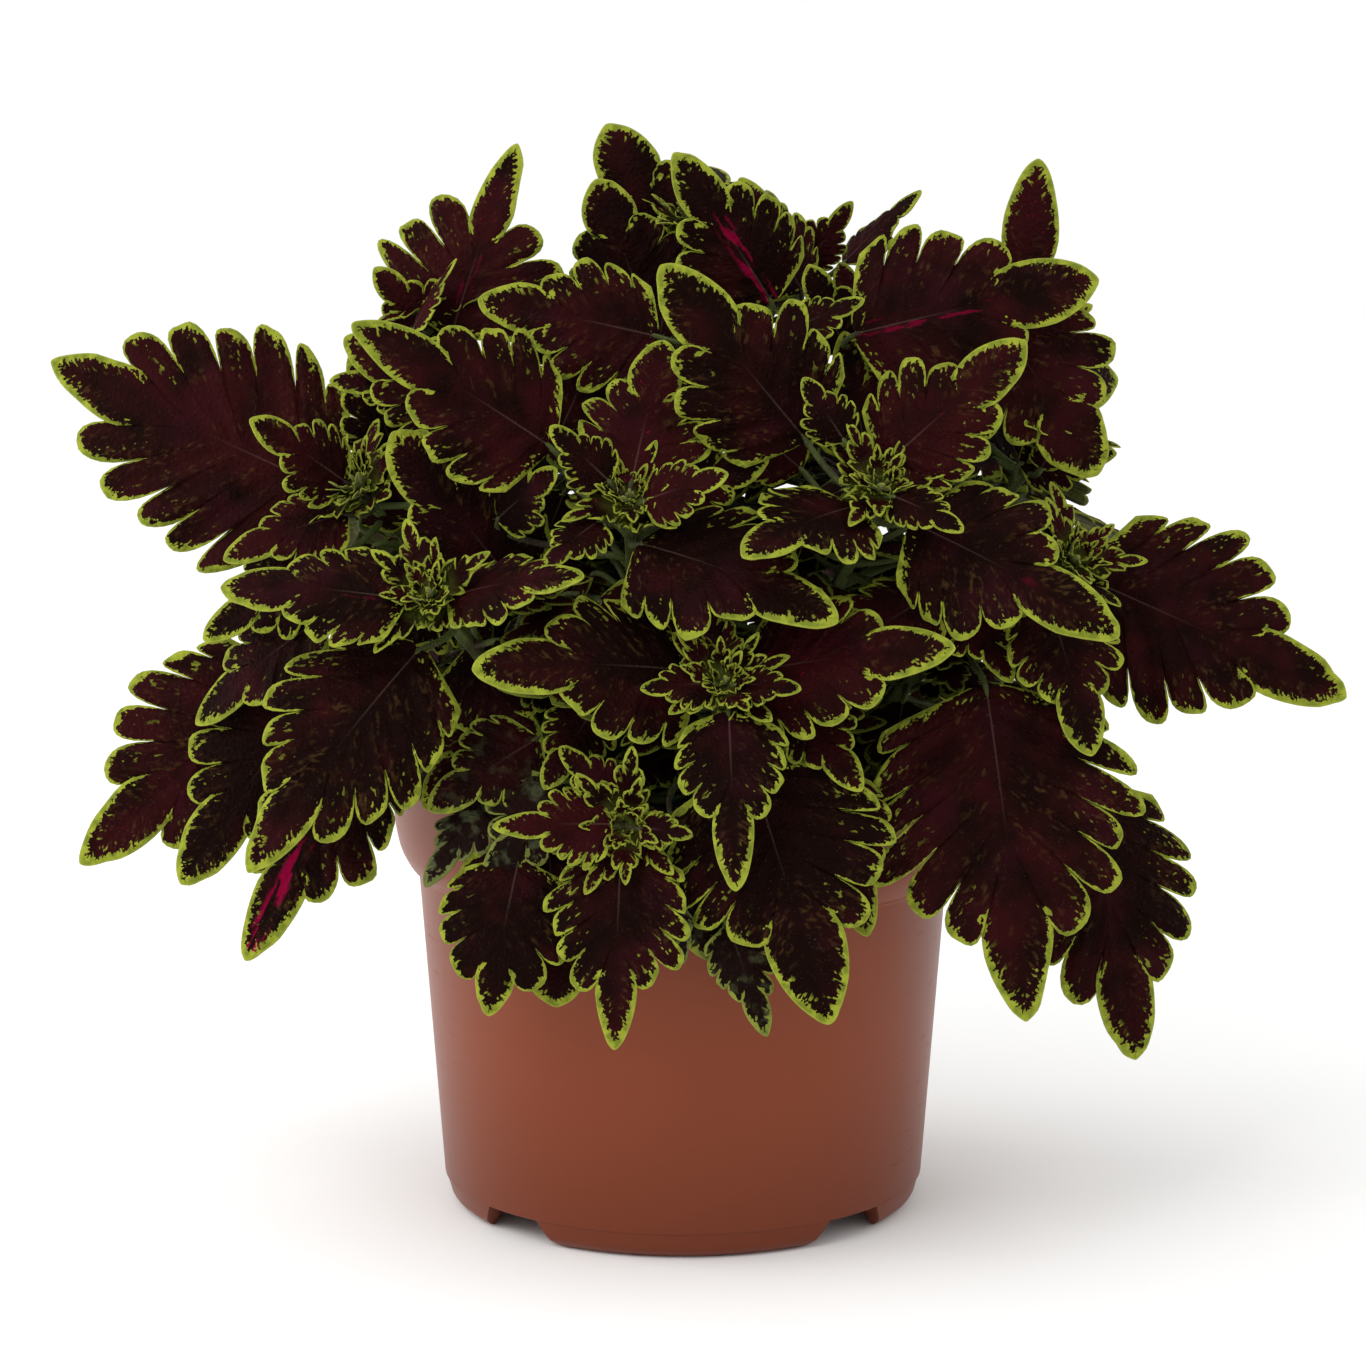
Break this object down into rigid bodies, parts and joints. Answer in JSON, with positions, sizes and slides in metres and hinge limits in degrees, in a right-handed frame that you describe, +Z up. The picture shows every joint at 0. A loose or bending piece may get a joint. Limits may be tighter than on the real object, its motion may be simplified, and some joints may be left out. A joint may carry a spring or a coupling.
{
  "type": "potted coleus",
  "caption": "Bushy coleus with lobed, dark red leaves edged in lime green, growing in a round tapered plastic nursery pot filled with soil.",
  "frame": {"origin": "On the pot's axis, at the level that its foot stands on.", "axes": "+Z is up, -Y is the front of the plant, and +X is to the right seen from the front; the plant spreads widest along X."},
  "size_m": [0.4181, 0.2658, 0.3531],
  "materials": {
    "pot_plastic": "satin",
    "soil": "matt, crumbly peat",
    "foliage": "matt, finely hairy"
  },
  "bodies": {
    "root": {"pot": "pot_plastic", "soil": "soil", "leafy_stem_crown": "foliage", "leafy_stem_crown_left": "foliage", "leafy_stem_crown_right": "foliage", "leafy_stem_left_back": "foliage", "leafy_stem_left_low": "foliage", "leafy_stem_middle": "foliage", "leafy_stem_right": "foliage", "leafy_stem_front_middle": "foliage", "leafy_stem_front_low": "foliage", "leafy_stem_right_back": "foliage", "leafy_stem_right_low": "foliage", "leafy_stem_back_left": "foliage", "leafy_stem_back_middle": "foliage", "leafy_stem_back_right": "foliage", "leafy_stem_back_low_left": "foliage", "leafy_stem_back_low_right": "foliage"}
  },
  "joints": []
}
